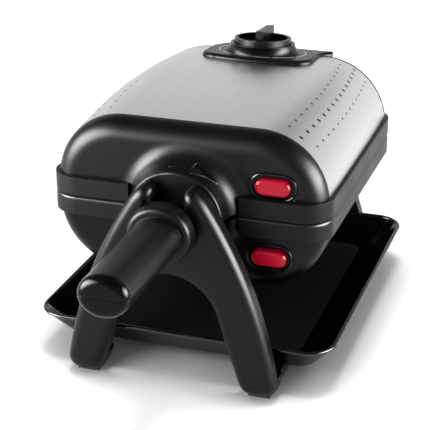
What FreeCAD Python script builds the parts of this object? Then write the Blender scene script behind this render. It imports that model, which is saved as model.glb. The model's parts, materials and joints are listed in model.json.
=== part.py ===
"""Rotating waffle maker: a clamshell head that turns over between two A-shaped legs.

Millimetres, +X to the right, +Y to the back, +Z up. The floor is Z = 0 and the origin lies under
the middle of the appliance. The head turns about a line along Y at the height of its parting face.
Heights inside a head half are counted from that parting face, outwards, so one function makes the
piece of either half.
"""
import FreeCAD, Part
import math
import operator
import os

import Sketcher
from FreeCAD import Placement, Rotation, Vector

doc = FreeCAD.newDocument("waffle_maker")
sheet = doc.addObject("Spreadsheet::Sheet", "Sizes")

# Lengths that remember their formula
OPERATIONS = {"+": operator.add, "-": operator.sub, "*": operator.mul, "/": operator.truediv}


class Dim:
    """A length or angle: its value now and the spreadsheet formula that drives it."""

    def __init__(self, value, text):
        self.value = value
        self.text = text

    def __add__(self, other):
        return worked("+", self, other)

    def __radd__(self, other):
        return worked("+", other, self)

    def __sub__(self, other):
        return worked("-", self, other)

    def __rsub__(self, other):
        return worked("-", other, self)

    def __mul__(self, other):
        return worked("*", self, other)

    def __rmul__(self, other):
        return worked("*", other, self)

    def __truediv__(self, other):
        return worked("/", self, other)

    def __neg__(self):
        return worked("-", 0, self)


def dim(item):
    return item if isinstance(item, Dim) else Dim(float(item), f"({item})")


def worked(sign, first, second):
    first, second = dim(first), dim(second)
    value = OPERATIONS[sign](first.value, second.value)
    return Dim(value, f"({first.text} {sign} {second.text})")


def root(item):
    return Dim(math.sqrt(item.value), f"sqrt({item.text})")


def sine(angle):
    return Dim(math.sin(math.radians(angle.value)), f"sin({angle.text})")


def cosine(angle):
    return Dim(math.cos(math.radians(angle.value)), f"cos({angle.text})")


cells = []


def size(alias, value):
    """Write one driving dimension into the sheet and return it as a Dim."""
    cells.append(alias)
    row = len(cells)
    sheet.set(f"A{row}", alias)
    sheet.set(f"B{row}", str(value))
    sheet.setAlias(f"B{row}", alias)
    return Dim(float(value), f"Sizes.{alias}")


# Clearances
parting_gap = size("parting_gap", 0.3)
seat_gap = size("seat_gap", 0.1)
running_gap = size("running_gap", 0.05)
slide_gap = size("slide_gap", 0.3)

# Head
axis_height = size("axis_height", 137.5)
band_width = size("band_width", 230)
band_depth = size("band_depth", 244)
band_corner = size("band_corner", 24)
band_height = size("band_height", 15.5)
upper_band_edge = size("upper_band_edge", 1.2)
lower_band_edge = size("lower_band_edge", 3)
shell_inset = size("shell_inset", 3.5)
upper_height = size("upper_height", 65.5)
upper_round = size("upper_round", 56)
belly_swell = size("belly_swell", 0.5)
belly_crown = size("belly_crown", 3)
belly_round = size("belly_round", 50)
rear_inset = size("rear_inset", 4.2)
rear_height = size("rear_height", 65)
rear_round = size("rear_round", 58)
lower_height = size("lower_height", 64)
lower_round = size("lower_round", 56)
shell_wall = size("shell_wall", 2.6)
shell_front = size("shell_front", 6)
shell_rear = size("shell_rear", 1)
front_wall = size("front_wall", 5)
rear_wall = size("rear_wall", 3)
nose_round = size("nose_round", 16.4)
tail_round = size("tail_round", 14.5)
steel_front = size("steel_front", 22.6)
steel_rear = size("steel_rear", 16)
steel_gauge = size("steel_gauge", 0.8)

# Hub and handle
hub_radius = size("hub_radius", 38.3)
hub_root = size("hub_root", 41)
hub_reach = size("hub_reach", 19.5)
hub_flare = size("hub_flare", 16)
hub_edge = size("hub_edge", 2)
hub_gap = size("hub_gap", 3.2)
notch_width = size("notch_width", 90)
notch_depth = size("notch_depth", 8.5)
tenon_radius = size("tenon_radius", 8)
tenon_length = size("tenon_length", 18)
journal_radius = size("journal_radius", 12.45)
flange_width = size("flange_width", 50.5)
flange_height = size("flange_height", 47)
flange_depth = size("flange_depth", 14)
flange_gap = size("flange_gap", 4)
flange_edge = size("flange_edge", 4)
grip_width = size("grip_width", 38.5)
grip_height = size("grip_height", 32.5)
handle_reach = size("handle_reach", 166)
handle_cap_depth = size("handle_cap_depth", 8)
handle_cap_round = size("handle_cap_round", 7)

# Waffle plates
grid_width = size("grid_width", 196)
grid_depth = size("grid_depth", 208)
grid_corner = size("grid_corner", 8)
grid_divider = size("grid_divider", 8)
cavity_depth = size("cavity_depth", 10.5)
peg_drop = size("peg_drop", 4.8)
plate_floor = size("plate_floor", 3)
ledge_width = size("ledge_width", 8)
channel_mouth = size("channel_mouth", 11)
channel_floor = size("channel_floor", 6)
PEGS_ACROSS = 4
PEGS_DEEP = 7

# Heating
heater_radius = size("heater_radius", 3.3)
heater_width = size("heater_width", 120)
heater_bend = size("heater_bend", 22)
heater_margin = size("heater_margin", 45)
reflector_margin = size("reflector_margin", 15)
reflector_ends = size("reflector_ends", 20)
reflector_gauge = size("reflector_gauge", 0.8)
post_radius = size("post_radius", 4.5)
post_spread = size("post_spread", 48)
post_margin = size("post_margin", 60)
screw_radius = size("screw_radius", 1.5)
screw_head_radius = size("screw_head_radius", 3.6)
screw_head_height = size("screw_head_height", 2)
screw_length = size("screw_length", 12)

# Dial
dial_tilt = size("dial_tilt", 5)
dial_inset = size("dial_inset", 29)
dial_lift = size("dial_lift", 3.3)
bezel_reach = size("bezel_reach", 34.5)
bezel_bow = size("bezel_bow", 4)
bezel_back = size("bezel_back", 25)
bezel_flare = size("bezel_flare", 8)
bezel_neck = size("bezel_neck", 16)
bezel_clip = size("bezel_clip", 7)
bezel_width = size("bezel_width", 101)
bezel_corner = size("bezel_corner", 16)
bezel_edge = size("bezel_edge", 3.5)
bezel_block = size("bezel_block", 12)
collar_width = size("collar_width", 75)
collar_depth = size("collar_depth", 53)
collar_waist = size("collar_waist", 62)
collar_top = size("collar_top", 57)
collar_height = size("collar_height", 8)
dial_well = size("dial_well", 5)
knob_radius = size("knob_radius", 25.2)
knob_gap = size("knob_gap", 0.6)
knob_rim = size("knob_rim", 3)
knob_rise = size("knob_rise", 12.5)
knob_floor = size("knob_floor", 7.5)
grip_bar_width = size("grip_bar_width", 6.4)
grip_bar_rise = size("grip_bar_rise", 19.5)
grip_bar_front = size("grip_bar_front", 12)
shaft_radius = size("shaft_radius", 3)
bush_wall = size("bush_wall", 2)
thermostat_width = size("thermostat_width", 40)
thermostat_depth = size("thermostat_depth", 24)
thermostat_height = size("thermostat_height", 16)

# Release buttons
button_width = size("button_width", 28.4)
button_height = size("button_height", 12.8)
upper_button_inset = size("upper_button_inset", 40.7)
upper_button_rise = size("upper_button_rise", 24.9)
lower_button_inset = size("lower_button_inset", 42.9)
lower_button_rise = size("lower_button_rise", 33.8)
button_proud = size("button_proud", 3.5)
button_travel = size("button_travel", 5)
button_gap = size("button_gap", 0.4)
button_edge = size("button_edge", 2.5)
button_flange = size("button_flange", 2)
button_flange_depth = size("button_flange_depth", 1.8)
recess_margin = size("recess_margin", 3.4)
recess_depth = size("recess_depth", 2.6)
recess_step = size("recess_step", 2.4)
recess_step_depth = size("recess_step_depth", 1)

# Lid hinge and rear bearing
hinge_back = size("hinge_back", 14)
hinge_rise = size("hinge_rise", 27)
hinge_pin_radius = size("hinge_pin_radius", 4)
arm_inner = size("arm_inner", 50)
arm_thickness = size("arm_thickness", 12)
arm_eye = size("arm_eye", 10)
knuckle_width = size("knuckle_width", 14)
knuckle_eye = size("knuckle_eye", 9)
bracket_gap = size("bracket_gap", 0.6)
bracket_depth = size("bracket_depth", 8)
bracket_drop = size("bracket_drop", 46)
bracket_rise = size("bracket_rise", 8)
boss_radius = size("boss_radius", 21)
boss_depth = size("boss_depth", 24)
trunnion_radius = size("trunnion_radius", 14)
trunnion_bore = size("trunnion_bore", 9.5)
rear_bush_wall = size("rear_bush_wall", 3)
gland_flange = size("gland_flange", 3.6)
gland_radius = size("gland_radius", 16.5)
gland_spigot = size("gland_spigot", 12)
gland_bore = size("gland_bore", 4.2)

# Legs, rails and tray
leg_gap = size("leg_gap", 2)
leg_top_depth = size("leg_top_depth", 17.5)
leg_foot_depth = size("leg_foot_depth", 13.5)
leg_arch = size("leg_arch", 37)
leg_shoulder = size("leg_shoulder", 33.3)
rear_eye = size("rear_eye", 27)
rear_shoulder = size("rear_shoulder", 37)
limb_sweep = size("limb_sweep", 380)
limb_foot = size("limb_foot", 86.5)
limb_lean = size("limb_lean", 9.4)
foot_outer_corner = size("foot_outer_corner", 12)
foot_inner_corner = size("foot_inner_corner", 13)
leg_edge = size("leg_edge", 8)
rear_leg_edge = size("rear_leg_edge", 4)
prong_corner = size("prong_corner", 6)
inner_arch = size("inner_arch", 40)
inner_lean = size("inner_lean", 18)
inner_arch_height = size("inner_arch_height", 56.5)
hook_radius = size("hook_radius", 15.5)
hook_base = size("hook_base", 1)
pad_height = size("pad_height", 2)
pad_side = size("pad_side", 72)
pad_width = size("pad_width", 18)
pad_depth = size("pad_depth", 10.6)
rear_leg_back = size("rear_leg_back", 48)
rail_width = size("rail_width", 14)
rail_height = size("rail_height", 8)
rail_side = size("rail_side", 77)
tray_width = size("tray_width", 249)
tray_front = size("tray_front", 16)
tray_rear = size("tray_rear", 32)
tray_corner = size("tray_corner", 24)
tray_slope = size("tray_slope", 18)
tray_base_height = size("tray_base_height", 15.5)
tray_rim_height = size("tray_rim_height", 36)
tray_floor = size("tray_floor", 2.4)
tray_lip = size("tray_lip", 3.3)

# Worked-out places
rear_reach = rear_leg_back + slide_gap + gland_flange
head_y = (handle_reach - rear_reach) / 2
band_front = head_y - band_depth / 2
band_rear = head_y + band_depth / 2
shell_mouth = band_height + seat_gap
dial_y = band_rear - dial_inset
shell_half = band_width / 2 - shell_inset
plate_back = cavity_depth + plate_floor
hinge_y = band_rear + hinge_back
hinge_z = axis_height + hinge_rise
leg_back_face = band_front - hub_reach - leg_gap
leg_front_face = leg_back_face - leg_top_depth
rear_leg_face = band_rear + rear_leg_back
flange_back_face = leg_front_face - flange_gap
flange_front_face = flange_back_face - flange_depth
handle_end = band_front - handle_reach
reflector_top = plate_back + seat_gap + heater_radius * 2 + slide_gap

doc.recompute()

# Document helpers
AXES = {"x": Vector(1, 0, 0), "y": Vector(0, 1, 0), "z": Vector(0, 0, 1)}
PLANES = {
    "front": (Rotation(Vector(1, 0, 0), 90), "y"),
    "side": (Rotation(Vector(1, 1, 1), 120), "x"),
    "plan": (Rotation(), "z"),
}
TURNS = {
    "x": Rotation(Vector(0, 1, 0), 90),
    "y": Rotation(Vector(-1, 0, 0), 90),
    "z": Rotation(),
}


def bind(item, formulas):
    for name, value in formulas.items():
        item.setExpression(name, dim(value).text)
    return item


def place(item, x, y, z):
    return bind(item, {"Placement.Base.x": x, "Placement.Base.y": y, "Placement.Base.z": z})


def ordered(first, second):
    first, second = dim(first), dim(second)
    return (first, second) if first.value <= second.value else (second, first)


def box(name, x_span, y_span, z_span):
    """A block between pairs of planes, given in any order."""
    block = doc.addObject("Part::Box", name)
    spans = [ordered(*span) for span in (x_span, y_span, z_span)]
    for side, (low, high) in zip(("Length", "Width", "Height"), spans):
        bind(block, {side: high - low})
    return place(block, *[low for low, high in spans])


def rod(name, axis, start, radius, length):
    """A cylinder along +axis from its start point."""
    cylinder = doc.addObject("Part::Cylinder", name)
    cylinder.Placement = Placement(Vector(), TURNS[axis])
    bind(cylinder, {"Radius": radius, "Height": length})
    return place(cylinder, *start)


def fuse(name, *items):
    union = doc.addObject("Part::MultiFuse", name)
    union.Shapes = list(items)
    return union


def cut(name, base, *tools):
    result = doc.addObject("Part::Cut", name)
    result.Base = base
    result.Tool = tools[0] if len(tools) == 1 else fuse(name + "_tools", *tools)
    return result


def common(name, *items):
    result = doc.addObject("Part::MultiCommon", name)
    result.Shapes = list(items)
    return result


def arc(start, end, bend):
    """The shorter arc between two points; a positive bend turns anticlockwise."""
    chord = end - start
    lift = math.sqrt(max(bend * bend - chord.Length ** 2 / 4, 0))
    left = Vector(-chord.y, chord.x, 0).normalize()
    centre = (start + end) * 0.5 + left * math.copysign(lift, bend)
    first, last = (start, end) if bend > 0 else (end, start)
    angles = [math.atan2(p.y - centre.y, p.x - centre.x) for p in (first, last)]
    circle = Part.Circle(centre, Vector(0, 0, 1), abs(bend))
    return Part.ArcOfCircle(circle, angles[0], angles[1])


def outline(name, plane, at, corners, closed=True):
    """A sketch whose corners are (u, v) for a line, or (u, v, bend) for an arc, to the next."""
    sketch = doc.addObject("Sketcher::SketchObject", name)
    turn, normal = PLANES[plane]
    sketch.Placement = Placement(Vector(), turn)
    bind(sketch, {"Placement.Base." + normal: at})
    points = [Vector(dim(c[0]).value, dim(c[1]).value, 0) for c in corners]
    count = len(corners) if closed else len(corners) - 1
    heads = []
    tails = []
    for index in range(count):
        start, end = points[index], points[(index + 1) % len(points)]
        bend = corners[index][2] if len(corners[index]) == 3 else None
        edge = Part.LineSegment(start, end) if bend is None else arc(start, end, bend.value)
        sketch.addGeometry(edge, False)
        turned = bend is not None and bend.value < 0
        heads.append(2 if turned else 1)
        tails.append(1 if turned else 2)
        if bend is not None:
            keep(sketch, "Radius", (index,), bend if bend.value > 0 else -bend)
    for index in range(count):
        following = (index + 1) % len(corners)
        if following < count:
            join = Sketcher.Constraint("Coincident", index, tails[index], following, heads[following])
            sketch.addConstraint(join)
        fix_point(sketch, index, heads[index], corners[index])
    if not closed:
        fix_point(sketch, count - 1, tails[-1], corners[-1])
    return sketch


def keep(sketch, kind, where, value):
    value = dim(value)
    number = sketch.addConstraint(Sketcher.Constraint(kind, *where, value.value))
    sketch.setExpression(f"Constraints[{number}]", value.text)


def fix_point(sketch, edge, end, corner):
    keep(sketch, "DistanceX", (edge, end), corner[0])
    keep(sketch, "DistanceY", (edge, end), corner[1])


def extrude(name, sketch, axis, length, taper=None):
    solid = doc.addObject("Part::Extrusion", name)
    solid.Base = sketch
    solid.DirMode = "Custom"
    solid.Dir = AXES[axis]
    solid.Solid = True
    bind(solid, {"LengthFwd": length})
    if taper is not None:
        bind(solid, {"TaperAngle": taper})
    return solid


def oval(name, width, height, start, end):
    """An elliptical bar along Y about the head's axis."""
    ellipse = doc.addObject("Part::Ellipse", name + "_section")
    ellipse.Placement = Placement(Vector(), PLANES["front"][0])
    bind(ellipse, {"MajorRadius": dim(width) / 2, "MinorRadius": dim(height) / 2})
    place(ellipse, 0, start, axis_height)
    return extrude(name, ellipse, "y", end - start)


def rounded(name, plane, at, u_span, v_span, radius):
    """A rectangle with rounded corners."""
    (left, right), (low, high) = ordered(*u_span), ordered(*v_span)
    return outline(name, plane, at, [
        (left + radius, low),
        (right - radius, low, radius),
        (right, low + radius),
        (right, high - radius, radius),
        (right - radius, high),
        (left + radius, high, radius),
        (left, high - radius),
        (left, low + radius, radius),
    ])


def stadium(name, at, x_centre, z_centre, width, height, length):
    """A bar along +Y with a stadium section."""
    end, reach = height / 2, width / 2
    left, right = x_centre - reach, x_centre + reach
    low, high = z_centre - end, z_centre + end
    sketch = outline(name + "_section", "front", at, [
        (left + end, low),
        (right - end, low, end),
        (right, z_centre, end),
        (right - end, high),
        (left + end, high, end),
        (left, z_centre, end),
    ])
    return extrude(name, sketch, "y", length)


def loft(name, *sections):
    solid = doc.addObject("Part::Loft", name)
    solid.Sections = list(sections)
    solid.Solid = True
    return solid


def edges_on(item, axis, value):
    """Numbers of the edges that lie in one plane across an axis."""
    doc.recompute()
    near = 1e-4
    numbers = []
    for number, edge in enumerate(item.Shape.Edges, 1):
        bounds = edge.BoundBox
        low, high = (getattr(bounds, axis + end) for end in ("Min", "Max"))
        if abs(low - value.value) < near and abs(high - value.value) < near:
            numbers.append(number)
    return numbers


def crown_edges(item, rear):
    """Numbers of the edges round an item's highest face that lie before a plane across Y."""
    doc.recompute()
    crown = max(item.Shape.Faces, key=lambda face: face.CenterOfMass.z)
    rim = [edge.hashCode() for edge in crown.Edges if edge.CenterOfMass.y < rear.value]
    return [number for number, edge in enumerate(item.Shape.Edges, 1) if edge.hashCode() in rim]


def soften(name, base, numbers, radius):
    rounding = doc.addObject("Part::Fillet", name)
    rounding.Base = base
    rounding.Edges = [(number, radius.value, radius.value) for number in numbers]
    return rounding


def level(side, height):
    """Height above the floor of a point counted outwards from the parting face."""
    return axis_height + side * dim(height)


def tilted(item, along=0):
    """Stand an item, made about the Z axis, on the dial's tilted axis."""
    item.Placement = Placement(Vector(), Rotation(Vector(-1, 0, 0), dial_tilt.value))
    bind(item, {"Placement.Rotation.Angle": dial_tilt})
    dial_z = axis_height + upper_height + dial_lift
    return place(item, 0, dial_y + along * sine(dial_tilt), dial_z + along * cosine(dial_tilt))


UP, DOWN = 1, -1
HALVES = {UP: "upper", DOWN: "lower"}
halves_apart = {}
for half in HALVES:
    halves_apart[half] = box(
        HALVES[half] + "_half_limit",
        (-band_width, band_width),
        (handle_end - handle_cap_depth, rear_leg_face + rear_reach),
        (level(half, parting_gap / 2), level(half, -band_width)),
    )


def half_of(name, item, side):
    """Only the part of an item on one side of the parting face, half the gap clear of it."""
    return cut(name, item, halves_apart[side])


# Head shells
NOSE = {1: (shell_half, upper_height, upper_round), -1: (shell_half, lower_height, lower_round)}
BELLY = (shell_half + belly_swell, upper_height + belly_crown, belly_round)
TAIL = {1: (band_width / 2 - rear_inset, rear_height, rear_round), -1: NOSE[-1]}


def arch_section(name, side, at, form, inset, foot):
    """Cross-section of a shell: flat crown, large round shoulders, open towards the parting face."""
    half_width, height, radius = form
    centre_x = half_width - radius
    rise = foot - height + radius
    radius = radius - inset
    foot_x = centre_x + root(radius * radius - rise * rise)
    crown = level(side, height - inset)
    return outline(name, "front", at, [
        (foot_x, level(side, foot), side * radius),
        (centre_x, crown),
        (-centre_x, crown, side * radius),
        (-foot_x, level(side, foot)),
    ])


def arch(name, side, start, end, form, inset, foot):
    section = arch_section(name + "_section", side, start, form, inset, foot)
    return extrude(name, section, "y", end - start)


def belly(name, inset, foot):
    """The upper shell between its caps: crowned and slightly barrelled."""
    front, rear = band_front + steel_front, band_rear - steel_rear
    stations = ((front, NOSE[UP]), ((front + rear) / 2, BELLY), (rear, TAIL[UP]))
    sections = []
    for number, (at, form) in enumerate(stations):
        sections.append(arch_section(f"{name}_{number}", UP, at, form, inset, foot))
    return loft(name, *sections)


def upper_blank():
    """Outer form of the upper shell: round-nosed front cap, steel seat and round rear cap."""
    front, rear = band_front + shell_front, band_rear - shell_rear
    cap = arch("front_cap", UP, front, band_front + steel_front, NOSE[UP], dim(0), parting_gap / 2)
    nose = soften("front_cap_nose", cap, front_edges(cap, front), nose_round)
    seat = belly("steel_seat", steel_gauge + running_gap, shell_mouth)
    tail = arch("rear_cap", UP, band_rear - steel_rear, rear, TAIL[UP], dim(0), shell_mouth)
    tail = soften("rear_cap_round", tail, front_edges(tail, rear), tail_round)
    return fuse("upper_blank", nose, seat, tail)


def lower_blank():
    front, rear = band_front + shell_front, band_rear - shell_rear
    whole = arch("lower_arch", DOWN, front, rear, NOSE[DOWN], dim(0), parting_gap / 2)
    nose = soften("lower_nose", whole, front_edges(whole, front), nose_round)
    return soften("lower_blank", nose, front_edges(nose, rear), tail_round)


def front_edges(item, plane):
    """The arched edges of an end face, without the straight one along the mouth."""
    edges = edges_on(item, "Y", plane)
    middle = item.Shape.BoundBox.Center.z
    shape = item.Shape
    mouth = max(edges, key=lambda n: flatness(shape.Edges[n - 1], middle))
    return [number for number in edges if number != mouth]


def flatness(edge, middle):
    """How far below or above the middle a level edge lies on the mouth side."""
    bounds = edge.BoundBox
    level_edge = bounds.ZLength < 1e-4
    towards_axis = abs(bounds.ZMin - axis_height.value) < abs(middle - axis_height.value)
    return 1 if level_edge and towards_axis else 0


def shell_hollow(side):
    """Room inside a shell, with its own round nose so that the wall stays even."""
    name = HALVES[side] + "_hollow"
    inset = steel_gauge + shell_wall
    front = band_front + shell_front + front_wall
    rear = band_rear - shell_rear - rear_wall
    hollow = arch(name, side, front, rear, TAIL[side], inset, shell_mouth - 1)
    nosed = soften(name + "_nose", hollow, front_edges(hollow, front), nose_round - front_wall)
    return soften(name + "_tail", nosed, front_edges(nosed, rear), tail_round - rear_wall)


def hub(side):
    """Half of the round hub that stands out from the front of the shells."""
    tip, inside = band_front - hub_reach, band_front + shell_front + front_wall
    name = HALVES[side] + "_hub"
    section = outline(name + "_section", "side", dim(0), [
        (tip, axis_height),
        (inside, axis_height),
        (inside, axis_height + hub_root),
        (tip + hub_edge, axis_height + hub_radius, hub_edge),
        (tip, axis_height + hub_radius - hub_edge),
    ])
    whole = doc.addObject("Part::Revolution", name + "_whole")
    whole.Source = section
    whole.Axis = AXES["y"]
    whole.Angle = 360
    whole.Solid = True
    bind(whole, {"Base.z": axis_height})
    return half_of(name, whole, side)


def hub_roots(item):
    """Numbers of the edges where the hub's cone runs into the front of a shell."""
    doc.recompute()
    face = (band_front + shell_front).value
    numbers = []
    for number, edge in enumerate(item.Shape.Edges, 1):
        points = edge.discretize(5)
        reach = [math.hypot(point.x, point.z - axis_height.value) for point in points]
        on_face = all(abs(point.y - face) < 1e-3 for point in points)
        if on_face and max(reach) - min(reach) < 1e-3 and max(reach) < hub_root.value:
            numbers.append(number)
    return numbers


def with_hub(side, blank):
    """A shell blank with its half hub, which flares smoothly out of the front."""
    name = HALVES[side] + "_hubbed"
    joined = fuse(name + "_sharp", blank, hub(side))
    flared = soften(name + "_flared", joined, hub_roots(joined), hub_flare)
    gap = box(name + "_gap", (-band_width, band_width),
              (band_front - hub_reach - 1, band_front + notch_depth),
              (level(side, -1), level(side, hub_gap / 2)))
    return cut(name, flared, gap)


def plate_room(side):
    """Space that a plate takes in its shell, around the hub."""
    name = HALVES[side] + "_plate_room"
    block = box(
        name + "_block",
        (-band_width, band_width),
        (band_front - slide_gap, band_rear + slide_gap),
        (level(side, -1), level(side, shell_mouth)),
    )
    notch = box(
        name + "_notch",
        (seat_gap - notch_width / 2, notch_width / 2 - seat_gap),
        (band_front - hub_reach, band_front + notch_depth - seat_gap),
        (level(side, -2), level(side, shell_mouth + 1)),
    )
    return cut(name, block, notch)


def posts(side):
    """Screw posts that carry the reflector."""
    top = TAIL[side][1] - steel_gauge - shell_wall / 2
    low, high = ordered(level(side, reflector_top + reflector_gauge), level(side, top))
    name = HALVES[side] + "_post"
    return [
        rod(f"{name}_{number}", "z", (x, y, low), post_radius, high - low)
        for number, (x, y) in enumerate(post_places())
    ]


def with_posts(name, shell, side):
    """A shell with its screw posts and their pilot holes."""
    standing = fuse(name + "_posted", shell, *posts(side))
    return cut(name, standing, *screw_rods(side, name + "_pilot", screw_radius + running_gap))


def post_places():
    front, rear = band_front + post_margin, band_rear - post_margin
    return [(x, y) for y in (front, rear) for x in (-post_spread, post_spread)]


BUTTON = {
    UP: (shell_half - upper_button_inset, level(UP, upper_button_rise)),
    DOWN: (shell_half - lower_button_inset, level(DOWN, lower_button_rise)),
}


def button_cuts(side):
    """Stepped stadium recess, through hole and flange pocket for a release button."""
    name = HALVES[side] + "_button"
    face = band_front + shell_front
    back = face + front_wall
    room = button_flange_depth + button_travel + slide_gap * 2
    steps = {
        "step": (recess_margin + recess_step, face - nose_round, face + recess_step_depth),
        "recess": (recess_margin, face - nose_round, face + recess_depth),
        "hole": (button_gap, face - nose_round, back + 1),
        "pocket": (button_flange + button_gap, back, back + room),
    }
    cuts = []
    for step, (margin, start, end) in steps.items():
        cuts.append(stadium(f"{name}_{step}", start, *BUTTON[side], button_width + margin * 2,
                            button_height + margin * 2, end - start))
    return cuts


def tenon_bore(side):
    return rod(HALVES[side] + "_tenon_bore", "y", (0, band_front - hub_reach - 1, axis_height),
               tenon_radius + running_gap, tenon_length + 1 + seat_gap)


def pin_bore(name, radius):
    reach = arm_inner + arm_thickness
    return rod(name, "x", (-reach - 1, hinge_y, hinge_z), radius, reach * 2 + 2)


def upper_housing():
    front, foot = band_rear - steel_rear, axis_height + shell_mouth + 2
    eye = knuckle_eye
    section = outline("knuckle_section", "side", dim(0), [
        (front, foot),
        (hinge_y, hinge_z - eye, eye),
        (hinge_y + eye, hinge_z, eye),
        (hinge_y, hinge_z + eye),
        (front, hinge_z + eye * 2),
    ])
    knuckles = []
    for sign in (-1, 1):
        outer = arm_inner - slide_gap
        start, end = ordered(sign * outer, sign * (outer - knuckle_width))
        knuckle = extrude(f"knuckle_{len(knuckles)}", section, "x", end - start)
        knuckles.append(bind(knuckle, {"Placement.Base.x": start}))
    body = fuse("upper_housing_body", with_hub(UP, upper_blank()), *knuckles)
    hollow = cut("upper_housing_shell", body, shell_hollow(UP), plate_room(UP), *button_cuts(UP),
                 tenon_bore(UP), pin_bore("knuckle_bore", hinge_pin_radius + running_gap),
                 tilted(dial_bore("housing_dial_bore", bush_outer + seat_gap), -bezel_block))
    return with_posts("upper_housing", hollow, UP)


bush_outer = shaft_radius + running_gap + bush_wall


def dial_bore(name, radius):
    bore = doc.addObject("Part::Cylinder", name)
    bind(bore, {"Radius": radius, "Height": bezel_block * 2})
    return bore


def lower_housing():
    bracket_front = band_rear + bracket_gap
    bracket_back = bracket_front + bracket_depth
    reach = arm_inner + arm_thickness
    low = axis_height - bracket_drop
    bracket = box("bracket", (-reach, reach), (bracket_front, bracket_back),
                  (low, axis_height + bracket_rise))
    root_block = box("bracket_root", (-reach, reach), (band_rear - shell_rear - rear_wall, bracket_back),
                     (low, axis_height - shell_mouth))
    section = outline("arm_section", "side", dim(0), [
        (bracket_front, low),
        (bracket_back, low),
        (hinge_y + arm_eye, hinge_z, arm_eye),
        (hinge_y, hinge_z + arm_eye, arm_eye),
        (hinge_y - arm_eye, hinge_z),
        (bracket_front, axis_height + bracket_rise),
    ])
    arms = []
    for sign in (-1, 1):
        start, end = ordered(sign * arm_inner, sign * reach)
        arm = extrude(f"arm_{len(arms)}", section, "x", end - start)
        arms.append(bind(arm, {"Placement.Base.x": start}))
    boss = rod("rear_boss", "y", (0, bracket_front, axis_height), boss_radius, boss_depth)
    bore = rod("boss_bore", "y", (0, bracket_front - 1, axis_height),
               trunnion_radius + running_gap, boss_depth + 2)
    body = fuse("lower_housing_body", with_hub(DOWN, lower_blank()), bracket, root_block, boss, *arms)
    hollow = cut("lower_housing_shell", body, shell_hollow(DOWN), plate_room(DOWN),
                 *button_cuts(DOWN), tenon_bore(DOWN), bore,
                 pin_bore("arm_bore", hinge_pin_radius + running_gap))
    return with_posts("lower_housing", hollow, DOWN)


def steel_cover():
    """Thin brushed cover, bent over the upper shell between its two caps."""
    outer = belly("steel_outer", dim(0), shell_mouth)
    inner = belly("steel_inner", steel_gauge, shell_mouth)
    sheet_room = box("steel_room", (-band_width, band_width),
                     (band_front + steel_front + seat_gap, band_rear - steel_rear - seat_gap),
                     (level(UP, shell_mouth), level(UP, upper_height * 2)))
    opening = tilted(dial_bore("steel_dial_opening", bush_outer * 2), -bezel_block)
    return cut("steel_cover", common("steel_trimmed", outer, sheet_room), inner, opening)


# Bands and waffle plates
def band(side):
    """Cast rim of a head half, rounded at the parting face, with a ledge that carries the plate."""
    name = HALVES[side] + "_band"
    lip = level(side, parting_gap / 2)
    low, high = ordered(lip, level(side, band_height))
    half_width = band_width / 2
    sketch = rounded(name + "_outline", "plan", low, (-half_width, half_width),
                     (band_front, band_rear), band_corner)
    blank = extrude(name + "_blank", sketch, "z", high - low)
    edge = upper_band_edge if side == UP else lower_band_edge
    eased = soften(name + "_eased", blank, edges_on(blank, "Z", lip), edge)
    notch = box(name + "_notch", (-notch_width / 2, notch_width / 2),
                (band_front - 1, band_front + notch_depth), (level(side, -1), level(side, band_height + 1)))
    window = plate_block(name + "_window", side, dim(0), dim(-1), plate_back)
    back_window = plate_block(name + "_back_window", side, ledge_width, dim(0), band_height + 1)
    return cut(name, eased, notch, window, back_window)


def plate_block(name, side, inset, front, back):
    """A rounded block with the plate's outline, between two depths from the parting face."""
    reach, depth = grid_width / 2 - inset, grid_depth / 2 - inset
    low, high = ordered(level(side, front), level(side, back))
    sketch = rounded(name + "_outline", "plan", low, (-reach, reach), (head_y - depth, head_y + depth),
                     grid_corner)
    return extrude(name, sketch, "z", high - low)


def plate(side):
    """Removable waffle plate: crossing channels leave tapered pegs in two moulds side by side."""
    name = HALVES[side] + "_plate"
    block = plate_block(name + "_block", side, seat_gap, peg_drop, plate_back - seat_gap)
    deep = (head_y - grid_depth / 2, head_y + grid_depth / 2)
    bars = []
    for number, sign in enumerate((-1, 1)):
        wide = ordered(sign * grid_divider / 2, sign * grid_width / 2)
        bars += channels(f"{name}_across_{number}", side, "x", wide, PEGS_ACROSS, deep)
        bars += channels(f"{name}_along_{number}", side, "y", deep, PEGS_DEEP, wide)
    return cut(name, block, *bars)


def channels(name, side, axis, span, pegs, run):
    """Tapered channels, evenly spaced across a span; the outer two follow its borders."""
    low, high = span
    pitch = (high - low - channel_mouth) / pegs
    mouth, floor = level(side, peg_drop - 1), level(side, cavity_depth)
    plane, along = ("front", "y") if axis == "x" else ("side", "x")
    bars = []
    for number in range(pegs + 1):
        middle = low + channel_mouth / 2 + pitch * number
        corners = [
            (middle - channel_mouth / 2, mouth),
            (middle + channel_mouth / 2, mouth),
            (middle + channel_floor / 2, floor),
            (middle - channel_floor / 2, floor),
        ]
        section = outline(f"{name}_section_{number}", plane, run[0], corners)
        bars.append(extrude(f"{name}_bar_{number}", section, along, run[1] - run[0]))
    return bars


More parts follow.
